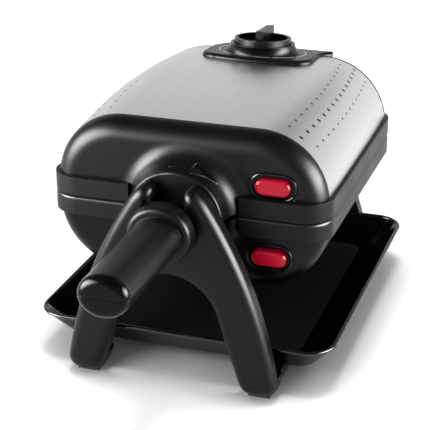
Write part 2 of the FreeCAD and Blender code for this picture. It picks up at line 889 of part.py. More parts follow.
# Heating
def heater(side):
    """Tubular element bent into a U against the back of its plate."""
    name = HALVES[side] + "_heater"
    centre = level(side, plate_back + seat_gap + heater_radius)
    reach = heater_width / 2
    front = band_front + heater_margin
    rear = band_rear - heater_margin
    path = outline(name + "_path", "plan", centre, [
        (-reach, rear),
        (-reach, front + heater_bend, heater_bend),
        (heater_bend - reach, front),
        (reach - heater_bend, front, heater_bend),
        (reach, front + heater_bend),
        (reach, rear),
    ], closed=False)
    ring = doc.addObject("Part::Circle", name + "_section")
    ring.Placement = Placement(Vector(), PLANES["front"][0])
    bind(ring, {"Radius": heater_radius})
    place(ring, -reach, rear, centre)
    tube = doc.addObject("Part::Sweep", name)
    tube.Sections = [ring]
    tube.Spine = (path, [f"Edge{number}" for number in range(1, 6)])
    tube.Solid = True
    return tube


def reflector(side):
    """Shallow sheet pan over the heater, its skirt standing on the plate's back."""
    name = HALVES[side] + "_reflector"
    inner, inner_end = reflector_margin + reflector_gauge, reflector_ends + reflector_gauge
    pan = box(name + "_pan", (reflector_margin - shell_half, shell_half - reflector_margin),
              (band_front + reflector_ends, band_rear - reflector_ends),
              (level(side, shell_mouth), level(side, reflector_top + reflector_gauge)))
    room = box(name + "_room", (inner - shell_half, shell_half - inner),
               (band_front + inner_end, band_rear - inner_end),
               (level(side, shell_mouth - 1), level(side, reflector_top)))
    return cut(name, pan, room, *screw_rods(side, name + "_hole", screw_radius + running_gap))


def screw_rods(side, name, radius):
    low, high = ordered(level(side, reflector_top), level(side, reflector_top + screw_length))
    return [
        rod(f"{name}_{number}", "z", (x, y, low), radius, high - low)
        for number, (x, y) in enumerate(post_places())
    ]


def reflector_screws(side):
    name = HALVES[side] + "_reflector_screws"
    low, high = ordered(level(side, reflector_top - screw_head_height), level(side, reflector_top))
    screws = []
    for number, shank in enumerate(screw_rods(side, name + "_shank", screw_radius)):
        x, y = post_places()[number]
        head = rod(f"{name}_head_{number}", "z", (x, y, low), screw_head_radius, high - low)
        screws.append(fuse(f"{name}_{number}", head, shank))
    group = doc.addObject("Part::Compound", name)
    group.Links = screws
    return group


# Handle
def handle(side):
    """Half of the split handle: grip, flange, journal for the cradle and tenon in the hub."""
    name = HALVES[side] + "_handle"
    grip = oval(name + "_grip", grip_width, grip_height, handle_end + handle_cap_depth, flange_front_face)
    flange = oval(name + "_flange", flange_width, flange_height, flange_front_face, flange_back_face)
    rim = edges_on(flange, "Y", flange_front_face)
    rounded_flange = soften(name + "_flange_round", flange, rim, flange_edge)
    hub_face = band_front - hub_reach
    journal = rod(name + "_journal", "y", (0, flange_back_face, axis_height),
                  journal_radius, hub_face - flange_back_face)
    tenon = rod(name + "_tenon", "y", (0, hub_face, axis_height), tenon_radius, tenon_length)
    return half_of(name, fuse(name + "_whole", grip, rounded_flange, journal, tenon), side)


def handle_cap(side):
    name = HALVES[side] + "_handle_cap"
    blank = oval(name + "_blank", grip_width, grip_height, handle_end, handle_end + handle_cap_depth)
    crowned = soften(name + "_crowned", blank, edges_on(blank, "Y", handle_end), handle_cap_round)
    return half_of(name, crowned, side)


# Dial
def dial_bezel():
    """Raised plate on the back of the steel, with an oval flared collar round the knob."""
    front, rear = dial_y - bezel_reach, dial_y + bezel_back
    half, shoulder = bezel_width / 2, front + bezel_bow
    tip, wing = half - bezel_corner, half + bezel_flare
    neck = (bezel_flare * bezel_flare + bezel_neck * bezel_neck) / bezel_flare / 2
    bow = (tip * tip + bezel_bow * bezel_bow) / bezel_bow / 2
    base = axis_height + rear_height - shell_wall
    plan = outline("bezel_plan", "plan", base, [
        (-tip, shoulder, bow),
        (dim(0), front, bow),
        (tip, shoulder, bezel_corner),
        (half, shoulder + bezel_corner),
        (half, rear - bezel_edge - bezel_neck, -neck),
        (wing, rear - bezel_edge),
        (wing, rear),
        (bezel_clip - half, rear),
        (-half, rear - bezel_clip * 2),
        (-half, shoulder + bezel_corner, bezel_corner),
    ])
    block = extrude("bezel_block_solid", plan, "z", bezel_block)
    above = doc.addObject("Part::Box", "bezel_top_cut")
    bind(above, {"Length": band_width, "Width": band_depth, "Height": bezel_block * 2})
    slope = doc.addObject("Part::Compound", "bezel_slope")
    slope.Links = [place(above, -band_width / 2, -band_depth / 2, 0)]
    wedge = cut("bezel_wedge", block, tilted(slope))
    sections = []
    for number, (width, depth, lift) in enumerate([
        (collar_width, collar_depth, -shell_wall / 2),
        (collar_waist, collar_depth, collar_height / 3),
        (collar_top, collar_top - seat_gap, collar_height),
    ]):
        ring = doc.addObject("Part::Ellipse", f"collar_ring_{number}")
        bind(ring, {"MajorRadius": width / 2, "MinorRadius": depth / 2})
        sections.append(place(ring, 0, 0, lift))
    collar = tilted(loft("collar", *sections))
    well = doc.addObject("Part::Cylinder", "dial_well_cut")
    bind(well, {"Radius": knob_radius + knob_gap, "Height": bezel_block})
    well = tilted(well, collar_height - dial_well)
    hole = tilted(dial_bore("bezel_bore", bush_outer + seat_gap), -bezel_block)
    eased = soften("bezel_eased", wedge, crown_edges(wedge, rear - bezel_edge), bezel_edge)
    body = fuse("bezel_body", eased, collar)
    return cut("dial_bezel", body, well, hole, doc.getObject("steel_outer"), doc.getObject("upper_blank"))


def thermostat():
    """Thermostat switch under the shell's crown, with the bush that carries the dial's shaft."""
    ceiling = axis_height + rear_height - steel_gauge - shell_wall
    body = box("thermostat_body", (-thermostat_width / 2, thermostat_width / 2),
               (dial_y - thermostat_depth / 2, dial_y + thermostat_depth / 2),
               (ceiling - thermostat_height, ceiling))
    top = collar_height - dial_well - seat_gap
    bush = doc.addObject("Part::Cylinder", "thermostat_bush")
    bind(bush, {"Radius": bush_outer, "Height": bezel_block + top})
    bush = tilted(bush, -bezel_block)
    bore = doc.addObject("Part::Cylinder", "thermostat_bore")
    bind(bore, {"Radius": shaft_radius + running_gap, "Height": bezel_block * 2 + thermostat_height})
    bore = tilted(bore, -bezel_block - thermostat_height / 2)
    return cut("thermostat", fuse("thermostat_whole", body, bush), bore)


def knob():
    """Recessed dial with a finger bar across it."""
    base = collar_height - dial_well + knob_gap
    skirt = rod("knob_skirt", "z", (0, 0, base), knob_radius, knob_rise - base)
    dish = rod("knob_dish", "z", (0, 0, knob_floor), knob_radius - knob_rim, knob_rise)
    bar_block = box("knob_bar_block", (-grip_bar_width / 2, grip_bar_width / 2),
                    (-grip_bar_front, knob_radius), (base + knob_gap, grip_bar_rise))
    bar_round = rod("knob_bar_round", "z", (0, 0, base), knob_radius - knob_gap, grip_bar_rise)
    bar = common("knob_bar", bar_block, bar_round)
    bore = rod("knob_bore", "z", (0, 0, base - 1), shaft_radius, knob_rise - base + 1)
    body = fuse("knob_body", cut("knob_cup", skirt, dish), bar)
    return tilted(cut("thermostat_knob", body, bore))


def shaft():
    start = -bezel_block
    length = knob_rise + bezel_block
    return tilted(rod("thermostat_shaft", "z", (0, 0, 0), shaft_radius, length), start)


# Release buttons
def button(side):
    """Push button, kept in by a flange behind the front wall."""
    name = HALVES[side] + "_button"
    face = band_front + shell_front
    wall_back = face + front_wall + slide_gap
    cap = stadium(name + "_cap", face - button_proud, *BUTTON[side], button_width, button_height,
                  wall_back + button_flange_depth - face + button_proud)
    cushion = soften(name + "_cushion", cap, edges_on(cap, "Y", face - button_proud), button_edge)
    margin = button_flange * 2
    flange = stadium(name + "_flange", wall_back, *BUTTON[side],
                     button_width + margin, button_height + margin, button_flange_depth)
    return fuse(name, cushion, flange)


# Rear bearing and hinge pin
def rear_trunnion():
    start = band_rear + bracket_gap
    end = rear_leg_face + slide_gap
    tube = rod("trunnion_tube", "y", (0, start, axis_height), trunnion_radius, end - start)
    bore = rod("trunnion_hollow", "y", (0, start - 1, axis_height), trunnion_bore, end - start + 2)
    return cut("rear_trunnion", tube, bore)


def cord_gland():
    face = rear_leg_face + slide_gap
    flange = rod("gland_flange_ring", "y", (0, face, axis_height), gland_radius, gland_flange)
    spigot = rod("gland_spigot_ring", "y", (0, face - gland_spigot, axis_height),
                 trunnion_bore - running_gap, gland_spigot)
    bore = rod("gland_hole", "y", (0, face - gland_spigot - 1, axis_height), gland_bore,
               gland_spigot + gland_flange + 2)
    return cut("cord_gland", fuse("gland_body", flange, spigot), bore)


def hinge_pin():
    reach = arm_inner + arm_thickness
    return rod("hinge_pin", "x", (-reach, hinge_y, hinge_z), hinge_pin_radius, reach * 2)


def rear_bush():
    start = rear_leg_face - leg_top_depth
    ring = rod("rear_bush_ring", "y", (0, start, axis_height), bush_seat, leg_top_depth)
    bore = rod("rear_bush_bore", "y", (0, start - 1, axis_height),
               trunnion_radius + running_gap, leg_top_depth + 2)
    return cut("rear_bush", ring, bore)


bush_seat = trunnion_radius + running_gap + rear_bush_wall


# Legs
def leg_limbs(arch_radius, shoulder):
    """Right-hand corners of a leg's front view, from its shoulder down and up to the inner arch."""
    outer, inner = foot_outer_corner, foot_inner_corner
    arch_side = inner_arch * cosine(inner_lean)
    arch_level = inner_arch_height + inner_arch * sine(inner_lean)
    heel = inner - inner * sine(inner_lean)
    heel_side = arch_side + (arch_level - heel) * sine(inner_lean) / cosine(inner_lean)
    return [
        (arch_radius * cosine(shoulder), axis_height + arch_radius * sine(shoulder), -limb_sweep),
        (limb_foot, outer + outer * sine(limb_lean), -outer),
        (limb_foot - outer * cosine(limb_lean), dim(0)),
        (heel_side + inner * cosine(inner_lean), dim(0), -inner),
        (heel_side, heel),
        (arch_side, arch_level, inner_arch),
    ]


def mirrored(corners):
    """The same corners on the left, walked back upwards, each arc kept on its own stretch."""
    left = []
    for index in range(len(corners) - 1, -1, -1):
        u, v = corners[index][:2]
        bend = corners[index - 1][2:] if index else ()
        left.append((-u, v, *bend))
    return left


def leg_profile(name, outer_face, way):
    """Side view of a leg: upright limb that hooks round to a J at the floor, spread across X."""
    base = hook_radius + hook_base
    inner = hook_radius - leg_foot_depth
    top = axis_height + leg_arch + 1
    back = hook_radius * 2
    steps = [
        (dim(0), top),
        (dim(0), base, hook_radius),
        (hook_radius, hook_base, hook_radius),
        (back, base),
        (back - leg_foot_depth, base, -inner),
        (hook_radius, base - inner, -inner),
        (leg_foot_depth, base),
        (leg_top_depth, top),
    ]
    corners = [(outer_face + way * u, v, *[way * b for b in bend]) for u, v, *bend in steps]
    section = outline(name + "_side", "side", -limb_foot - 1, corners)
    return extrude(name + "_side_solid", section, "x", limb_foot * 2 + 2)


def foot_flat(name, outer_face, way):
    span = (outer_face, outer_face + way * hook_radius * 2)
    return box(name + "_flat", (-limb_foot - 1, limb_foot + 1), span, (0, pad_height))


def front_leg():
    slot = journal_radius + running_gap
    reach, side = leg_arch - prong_corner, slot + prong_corner
    rise = root(reach * reach - side * side)
    spread = leg_arch / reach
    right = [
        (slot, axis_height + rise, -prong_corner),
        (side * spread, axis_height + rise * spread, -leg_arch),
    ] + leg_limbs(leg_arch, leg_shoulder)
    crown = [(dim(0), inner_arch_height + inner_arch, inner_arch)]
    cradle = [
        (-slot, axis_height, slot),
        (dim(0), axis_height - slot, slot),
        (slot, axis_height),
    ]
    sketch = outline("front_leg_front", "front", leg_front_face, right + crown + mirrored(right) + cradle)
    front = extrude("front_leg_front_solid", sketch, "y", hook_radius * 2 + 1)
    side = leg_profile("front_leg", leg_front_face, 1)
    form = common("front_leg_form", front, side)
    eased = soften("front_leg_eased", form, edges_on(form, "Y", leg_front_face), leg_edge)
    return cut("front_leg", eased, foot_flat("front_leg", leg_front_face, 1))


def rear_leg():
    right = [(dim(0), axis_height + rear_eye, -rear_eye)] + leg_limbs(rear_eye, rear_shoulder)
    crown = [(dim(0), inner_arch_height + inner_arch, inner_arch)]
    left = mirrored(right)[:-1]
    depth = hook_radius * 2 + 1
    sketch = outline("rear_leg_front", "front", rear_leg_face - depth, right + crown + left)
    front = extrude("rear_leg_front_solid", sketch, "y", depth + 1)
    side = leg_profile("rear_leg", rear_leg_face, -1)
    eye = rod("rear_leg_eye", "y", (0, rear_leg_face - depth, axis_height), bush_seat, depth + 2)
    form = common("rear_leg_form", front, side)
    eased = soften("rear_leg_eased", form, edges_on(form, "Y", rear_leg_face), rear_leg_edge)
    return cut("rear_leg", eased, eye, foot_flat("rear_leg", rear_leg_face, -1))


def foot_pads():
    faces = {"front": leg_front_face + hook_radius, "rear": rear_leg_face - hook_radius}
    pads = []
    for end, middle in faces.items():
        for hand, sign in (("left", -1), ("right", 1)):
            centre = sign * pad_side
            pads.append(box(f"foot_pad_{end}_{hand}", (centre - pad_width / 2, centre + pad_width / 2),
                            (middle - pad_depth / 2, middle + pad_depth / 2), (0, pad_height)))
    return pads


def rails(front, rear):
    """Strips between the hooked feet of both legs, fitted to the hooks' curves."""
    top = tray_base_height - slide_gap
    hook_back = hook_radius * 2 - leg_foot_depth / 2
    found = []
    for hand, sign in (("left", -1), ("right", 1)):
        centre = sign * rail_side
        bar = box(f"{hand}_rail_bar", (centre - rail_width / 2, centre + rail_width / 2),
                  (leg_front_face + hook_back, rear_leg_face - hook_back), (top - rail_height, top))
        found.append(cut(f"{hand}_rail", bar, front, rear))
    return found


def tray_form(name, base, rim, inset_base, inset_rim, corner):
    """A sloped dish between a base rectangle and a rim rectangle."""
    front, rear = band_front - tray_front, band_rear + tray_rear
    half = tray_width / 2
    sections = []
    for number, (height, inset) in enumerate(((base, inset_base), (rim, inset_rim))):
        sections.append(rounded(f"{name}_{number}", "plan", height, (inset - half, half - inset),
                                (front + inset, rear - inset), corner[number]))
    dish = loft(name, *sections)
    dish.Ruled = True
    return dish


def drip_tray():
    rise = tray_rim_height - tray_base_height
    slant = tray_slope / rise
    floor = tray_base_height + tray_floor
    inset = tray_slope + tray_lip - slant * tray_floor
    base_corner = tray_corner - tray_slope / 2
    outer = tray_form("tray_outer", tray_base_height, tray_rim_height, tray_slope, dim(0),
                      (base_corner, tray_corner))
    inner = tray_form("tray_inner", floor, tray_rim_height + tray_lip, inset, tray_lip - slant * tray_lip,
                      (base_corner, tray_corner))
    return cut("drip_tray", outer, inner)


def build():
    front, rear = front_leg(), rear_leg()
    pieces = [front, rear, *rails(front, rear), *foot_pads(), rear_bush(), drip_tray()]
    for side, housing in ((DOWN, lower_housing), (UP, upper_housing)):
        pieces += [housing(), band(side), plate(side), heater(side), reflector(side), reflector_screws(side),
                   handle(side), handle_cap(side), button(side)]
    pieces += [rear_trunnion(), cord_gland(), hinge_pin()]
    pieces += [steel_cover(), dial_bezel(), thermostat(), knob(), shaft()]
    return pieces


def check(pieces):
    for item in doc.Objects:
        if "Invalid" in item.State or "Error" in item.State:
            raise RuntimeError(f"{item.Name} failed: {item.State}")
    for piece in pieces:
        if piece.Shape.isNull() or not piece.Shape.isValid() or not piece.Shape.Solids:
            raise RuntimeError(f"{piece.Label} has no sound solid")


parts = build()
doc.recompute()
check(parts)
os.makedirs("parts", exist_ok=True)
for part in parts:
    part.Shape.exportStep(os.path.join("parts", part.Label + ".step"))
    print(part.Label, len(part.Shape.Solids), round(part.Shape.Volume / 1000, 1), "cm3")
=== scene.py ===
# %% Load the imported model
import json
import math

import bmesh
import bpy
from mathutils import Matrix, Vector


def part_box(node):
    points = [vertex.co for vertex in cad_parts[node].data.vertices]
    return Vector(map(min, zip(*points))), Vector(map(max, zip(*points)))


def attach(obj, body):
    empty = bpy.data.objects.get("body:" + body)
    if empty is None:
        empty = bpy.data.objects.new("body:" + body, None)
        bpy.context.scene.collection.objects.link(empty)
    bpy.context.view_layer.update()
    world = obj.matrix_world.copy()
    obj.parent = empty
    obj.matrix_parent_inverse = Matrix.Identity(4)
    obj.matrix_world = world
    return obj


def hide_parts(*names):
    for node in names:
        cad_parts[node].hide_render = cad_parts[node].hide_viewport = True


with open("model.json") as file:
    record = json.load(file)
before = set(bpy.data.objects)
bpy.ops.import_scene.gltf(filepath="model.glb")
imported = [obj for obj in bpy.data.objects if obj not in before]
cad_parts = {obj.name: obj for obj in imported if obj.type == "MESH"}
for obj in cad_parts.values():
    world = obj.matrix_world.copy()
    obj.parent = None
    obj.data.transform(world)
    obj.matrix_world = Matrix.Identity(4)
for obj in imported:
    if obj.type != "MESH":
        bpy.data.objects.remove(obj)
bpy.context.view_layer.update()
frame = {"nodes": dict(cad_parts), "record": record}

nodes = frame["nodes"]

# %% [markdown]
# # Camera
# A product photograph like this one is taken from a little over a metre away with a short telephoto
# lens, so the near handle looks large but the lines stay calm. The angles below say where the camera
# stands: how far round to the right of the handle, and how high above the table.

# %% Camera
MM = 0.001
VIEW_AROUND = math.radians(18.30)
VIEW_DOWN = math.radians(22.72)
EYE = Vector((338.9, -1009.65, 553.4)) * MM
LENS = 117.2
SENSOR = 36.0

camera_data = bpy.data.cameras.new("camera")
camera_data.lens = LENS
camera_data.sensor_width = SENSOR
camera = bpy.data.objects.new("camera", camera_data)
bpy.context.scene.collection.objects.link(camera)
gaze = Vector((
    -math.sin(VIEW_AROUND) * math.cos(VIEW_DOWN),
    math.cos(VIEW_AROUND) * math.cos(VIEW_DOWN),
    -math.sin(VIEW_DOWN),
))
camera.location = EYE
camera.rotation_euler = gaze.to_track_quat("-Z", "Y").to_euler()
bpy.context.scene.camera = camera
print("camera at", [round(v, 3) for v in camera.location])

# %% [markdown]
# # Node helpers
# The room, the lamps and the materials are all small graphs of nodes. A few helpers add a node, join two
# of them, do a sum or ease one value into another, so that the cells below read like a recipe.

# %% Node helpers
scene = bpy.context.scene
scene.view_settings.view_transform = "Standard"


def link(tree, start, output, end, socket):
    tree.links.new(start.outputs[output], end.inputs[socket])


def add(tree, kind, **values):
    """A node with the given input values; names use _ for a space."""
    node = tree.nodes.new(kind)
    for name, value in values.items():
        node.inputs[name.replace("_", " ")].default_value = value
    return node


def feed(tree, node, socket, value):
    """Give a socket a number, or the first output of another node."""
    if isinstance(value, (int, float)):
        node.inputs[socket].default_value = value
    else:
        link(tree, value, 0, node, socket)


def sum_of(tree, operation, first, second):
    """A math node on two numbers or nodes."""
    node = tree.nodes.new("ShaderNodeMath")
    node.operation = operation
    feed(tree, node, 0, first)
    feed(tree, node, 1, second)
    return node


def picked(tree, node, output):
    """One output of a node, as a node of its own that the other helpers can read."""
    copy = sum_of(tree, "ADD", 0, 0)
    link(tree, node, output, copy, 0)
    return copy


def spread(tree, source, start, end, low, high):
    """Ease from one value to another while the source runs from start to end."""
    node = tree.nodes.new("ShaderNodeMapRange")
    node.interpolation_type = "SMOOTHSTEP"
    for socket, value in zip(("Value", "From Min", "From Max", "To Min", "To Max"),
                             (source, start, end, low, high)):
        feed(tree, node, socket, value)
    return node


def ray_is(tree, *kinds):
    """1 for rays of any of the given kinds."""
    path = tree.nodes.new("ShaderNodeLightPath")
    found = 0
    for kind in kinds:
        found = sum_of(tree, "MAXIMUM", picked(tree, path, f"Is {kind} Ray"), found)
    return found


print("helpers ready")

# %% [markdown]
# # Room
# The camera sees plain white, and the object is lit by an even room. What reflections see is a
# photographer's studio: bright walls beside and behind the object, a dim ceiling, a dimmer side behind
# the camera, and a narrow gap between two wall panels, which draws a soft band along the steel. An image
# of a real studio would do as well, but a few eased values need no file and are easy to change.

# %% Room
ROOM_LIGHT = 0.45
WALL_LIGHT, CEILING = 1.2, 0.35
WALL_TO_CEILING = (0.10, 0.95)
BEHIND_CAMERA, BACK_WALL = 0.50, 0.85
FRONT_TO_BACK = (-0.1, 0.75)
PANEL_GAP = 0.45
PANEL_GAP_AT = 0.03
PANEL_EDGE = (0.03, 0.20)
PANEL_FOOT = (0.15, 0.35)

world = bpy.data.worlds.new("white_room")
scene.world = world
world.use_nodes = True
tree = world.node_tree
tree.nodes.clear()
direction = tree.nodes.new("ShaderNodeTexCoord")
heading = tree.nodes.new("ShaderNodeSeparateXYZ")
link(tree, direction, "Generated", heading, 0)
ways = {axis: picked(tree, heading, axis) for axis in "XYZ"}
walls = spread(tree, ways["Z"], *WALL_TO_CEILING, WALL_LIGHT, CEILING)
depth = spread(tree, ways["Y"], *FRONT_TO_BACK, BEHIND_CAMERA, BACK_WALL)
beside = sum_of(tree, "ABSOLUTE", sum_of(tree, "SUBTRACT", ways["X"], PANEL_GAP_AT), 0)
gap = spread(tree, beside, *PANEL_EDGE, PANEL_GAP, 1.0)
panels = spread(tree, ways["Z"], *PANEL_FOOT, 1.0, gap)
mirrored = sum_of(tree, "MULTIPLY", sum_of(tree, "MULTIPLY", walls, depth), panels)
lit = spread(tree, ray_is(tree, "Glossy", "Transmission"), 0, 1, ROOM_LIGHT, mirrored)
shown = spread(tree, ray_is(tree, "Camera"), 0, 1, lit, 1.0)
sky = add(tree, "ShaderNodeBackground", Color=(1, 1, 1, 1))
link(tree, shown, 0, sky, "Strength")
link(tree, sky, 0, add(tree, "ShaderNodeOutputWorld"), 0)
print("room:", len(tree.nodes), "nodes")

# %% [markdown]
# # Table
# The appliance stands on a white table. Its surface is ordinary white paint that takes shadows. A glow
# that only the camera and reflections see lifts it to pure white, and grows with the distance. Ambient
# occlusion holds the glow back under the appliance, so that the shadow there stays.

# %% Table
FLOOR_SIZE = 6.0
FLOOR_WHITE = (0.90, 0.90, 0.90, 1)
FLOOR_GLOW = (0.45, 0.65)
GLOW_SPAN = (0.45, 1.1)
NEARBY = 0.07
OPEN_FLOOR = (0.35, 0.95)
SHADE_SAMPLES = 8

shape = bmesh.new()
bmesh.ops.create_grid(shape, x_segments=1, y_segments=1, size=FLOOR_SIZE)
floor_mesh = bpy.data.meshes.new("floor")
shape.to_mesh(floor_mesh)
shape.free()
floor = bpy.data.objects.new("floor", floor_mesh)
scene.collection.objects.link(floor)

paint = bpy.data.materials.new("white_table")
paint.use_nodes = True
tree = paint.node_tree
tree.nodes.clear()
matt = add(tree, "ShaderNodeBsdfDiffuse", Color=FLOOR_WHITE)
glow = add(tree, "ShaderNodeEmission", Color=(1, 1, 1, 1))
seen = ray_is(tree, "Camera", "Glossy", "Transmission")
closeness = add(tree, "ShaderNodeAmbientOcclusion", Distance=NEARBY)
closeness.samples = SHADE_SAMPLES
open_floor = picked(tree, closeness, "AO")
spot = tree.nodes.new("ShaderNodeTexCoord")
away = tree.nodes.new("ShaderNodeVectorMath")
away.operation = "LENGTH"
link(tree, spot, "Object", away, 0)
brightness = spread(tree, picked(tree, away, "Value"), *GLOW_SPAN, *FLOOR_GLOW)
clear = spread(tree, open_floor, *OPEN_FLOOR, 0.0, brightness)
link(tree, sum_of(tree, "MULTIPLY", seen, clear), 0, glow, "Strength")
both = add(tree, "ShaderNodeAddShader")
link(tree, matt, 0, both, 0)
link(tree, glow, 0, both, 1)
link(tree, both, 0, add(tree, "ShaderNodeOutputMaterial"), 0)
floor_mesh.materials.append(paint)
print("table:", 2 * FLOOR_SIZE, "m square")

# %% [markdown]
# # Lamps
# A wide lamp overhead and a weak one in front give the plain light, and neither shows as a reflection.
# Two large boxes beside the appliance do the opposite: they show only as reflections, brightest in the
# middle and fading to nothing. They draw the long pale streaks by which black plastic shows its curves.
# Light linking keeps them to the dark pieces, because steel would turn white. The lower housing is left
# out too: its flat underside would mirror a whole lamp when the head is turned over.

# %% Lamps
HEAD = Vector((0, 0.05, 0.16))
LAMP_FADE = (0.10, 0.50)
LAMP_MIDDLE = (0.5, 0.5, 0.0)


def softbox(name, place, width, height, power, edge=1.0):
    """A rectangular lamp that faces the head and fades from its middle to its edge."""
    lamp = bpy.data.lights.new(name, "AREA")
    lamp.shape = "RECTANGLE"
    lamp.size = width
    lamp.size_y = height
    lamp.energy = power
    lamp.use_nodes = True
    tree = lamp.node_tree
    across = tree.nodes.new("ShaderNodeNewGeometry")
    apart = tree.nodes.new("ShaderNodeVectorMath")
    apart.operation = "DISTANCE"
    apart.inputs[1].default_value = LAMP_MIDDLE
    link(tree, across, "Parametric", apart, 0)
    fade = spread(tree, picked(tree, apart, "Value"), *LAMP_FADE, 1.0, edge)
    link(tree, fade, 0, tree.nodes["Emission"], "Strength")
    holder = bpy.data.objects.new(name, lamp)
    holder.location = place
    holder.rotation_euler = (HEAD - Vector(place)).to_track_quat("-Z", "Y").to_euler()
    holder.visible_camera = False
    scene.collection.objects.link(holder)
    return holder


softbox("overhead", (0.0, 0.22, 2.4), 0.7, 0.6, 24).visible_glossy = False
softbox("front_fill", (-0.60, -1.30, 0.9), 0.9, 0.7, 9).visible_glossy = False
dark_pieces = bpy.data.collections.new("dark_pieces")
for box in (
    softbox("left_box", (-0.80, -0.56, 0.38), 1.40, 0.90, 190, 0),
    softbox("right_box", (0.90, -0.02, 0.36), 1.40, 0.85, 180, 0),
):
    box.visible_diffuse = False
    box.light_linking.receiver_collection = dark_pieces
print("lamps:", [lamp.name for lamp in bpy.data.lights])

# %% [markdown]
# # Shared surface effects
# Moulded plastic is never perfectly even: its skin has a fine grain from the mould and its gloss
# wanders a little. Rolled and brushed metal has long fine streaks. Each effect is one node group, so
# every material can place it with its own scale.

# %% Shared surface effects
DRIFT_LOW, DRIFT_HIGH = 0.3, 0.7
STREAK = (1.0, 0.012, 1.0)


def new_group(name, inputs, outputs):
    """A shader node group with named number sockets; returns it with its two end nodes."""
    group = bpy.data.node_groups.new(name, "ShaderNodeTree")
    for label, value in inputs.items():
        socket = group.interface.new_socket(label, in_out="INPUT", socket_type="NodeSocketFloat")
        socket.default_value = value
    for label in outputs:
        group.interface.new_socket(label, in_out="OUTPUT", socket_type="NodeSocketFloat")
    return group, group.nodes.new("NodeGroupInput"), group.nodes.new("NodeGroupOutput")


def ranged(tree, source, start, low, high):
    """Spread a 0 to 1 value between two named inputs of the group."""
    node = tree.nodes.new("ShaderNodeMapRange")
    link(tree, source, 0, node, "Value")
    link(tree, start, low, node, "To Min")
    link(tree, start, high, node, "To Max")
    return node


def mould_grain():
    """Fine pits for bump and slow drifts for gloss."""
    group, start, end = new_group(
        "mould_grain", {"Grain Size": 900.0, "Dull": 0.5, "Shiny": 0.4}, ["Height", "Roughness"])
    place = group.nodes.new("ShaderNodeTexCoord")
    pits = add(group, "ShaderNodeTexNoise", Detail=3.0, Roughness=0.6)
    link(group, place, "Object", pits, "Vector")
    link(group, start, "Grain Size", pits, "Scale")
    link(group, pits, 0, end, "Height")
    drift = add(group, "ShaderNodeTexNoise", Scale=18.0, Detail=4.0)
    link(group, place, "Object", drift, "Vector")
    gloss = ranged(group, drift, start, "Shiny", "Dull")
    gloss.inputs["From Min"].default_value = DRIFT_LOW
    gloss.inputs["From Max"].default_value = DRIFT_HIGH
    link(group, gloss, 0, end, "Roughness")
    return group


def brush_lines():
    """Long fine streaks along Y, for bump, gloss and tone."""
    group, start, end = new_group(
        "brush_lines", {"Dull": 0.4, "Shiny": 0.25}, ["Height", "Roughness", "Tone"])
    place = group.nodes.new("ShaderNodeTexCoord")
    stretch = group.nodes.new("ShaderNodeMapping")
    stretch.inputs["Scale"].default_value = STREAK
    link(group, place, "Object", stretch, "Vector")
    fine = add(group, "ShaderNodeTexNoise", Scale=2600.0, Detail=3.0, Roughness=0.7)
    link(group, stretch, 0, fine, "Vector")
    link(group, fine, 0, end, "Height")
    gloss = ranged(group, fine, start, "Shiny", "Dull")
    link(group, gloss, 0, end, "Roughness")
    broad = add(group, "ShaderNodeTexNoise", Scale=300.0, Detail=2.0)
    link(group, stretch, 0, broad, "Vector")
    link(group, broad, 0, end, "Tone")
    return group


GRAIN = mould_grain()
LINES = brush_lines()
print("groups:", GRAIN.name, LINES.name)

# %% [markdown]
# # Finish helpers
# Each finish on the record becomes one material with its own colour, gloss and texture. Two helpers cover
# nearly all of them, one for moulded skins and one for metals. Corners that the solids leave sharp get a
# small rounding in the shading, because no moulded or cast edge is a perfect knife edge. A last helper
# changes a finish in places, by a mask. It is used for colour, gloss, metal and coat only, because those
# keep their masks when the model is exported.

# %% Finish helpers
TONE_DARK, TONE_LIGHT = 0.82, 1.18
GRAIN_BUMP, BRUSH_BUMP = 0.35, 0.12
BRUSH_DEPTH = 0.02 * MM
COAT_ROUGHNESS = 0.06
EDGE_SAMPLES = 4
finishes = {}


def blank_material(name):
    material = bpy.data.materials.new(name)
    material.use_nodes = True
    tree = material.node_tree
    tree.nodes.clear()
    surface = tree.nodes.new("ShaderNodeBsdfPrincipled")
    link(tree, surface, 0, tree.nodes.new("ShaderNodeOutputMaterial"), 0)
    finishes[name] = material
    return tree, surface


def place_group(tree, group, **values):
    node = tree.nodes.new("ShaderNodeGroup")
    node.node_tree = group
    for name, value in values.items():
        node.inputs[name.replace("_", " ")].default_value = value
    return node


def mixed(tree, first, second, source, output):
    """A colour between two others, by one output of a node."""
    mix = tree.nodes.new("ShaderNodeMix")
    mix.data_type = "RGBA"
    mix.inputs["A"].default_value = first + (1,)
    mix.inputs["B"].default_value = second + (1,)
    link(tree, source, output, mix, "Factor")
    return mix


def bumped(tree, surface, source, strength, distance, edge):
    """Feed a height into the normal, over edges softened by a small radius."""
    bump = add(tree, "ShaderNodeBump", Strength=strength, Distance=distance)
    link(tree, source, "Height", bump, "Height")
    if edge:
        soft = add(tree, "ShaderNodeBevel", Radius=edge)
        soft.samples = EDGE_SAMPLES
        link(tree, soft, 0, bump, "Normal")
    link(tree, bump, 0, surface, "Normal")


def moulded(name, colour, shiny, dull, grain_size, grain_depth, edge, specular=0.5, coat=0.0):
    """A moulded plastic or rubber skin."""
    tree, surface = blank_material(name)
    surface.inputs["Specular IOR Level"].default_value = specular
    surface.inputs["Coat Weight"].default_value = coat
    surface.inputs["Coat Roughness"].default_value = COAT_ROUGHNESS
    grain = place_group(tree, GRAIN, Grain_Size=grain_size, Shiny=shiny, Dull=dull)
    link(tree, grain, "Roughness", surface, "Roughness")
    dark = tuple(TONE_DARK * c for c in colour)
    light = tuple(min(TONE_LIGHT * c, 1) for c in colour)
    link(tree, mixed(tree, dark, light, grain, "Height"), "Result", surface, "Base Color")
    bumped(tree, surface, grain, GRAIN_BUMP, grain_depth, edge)


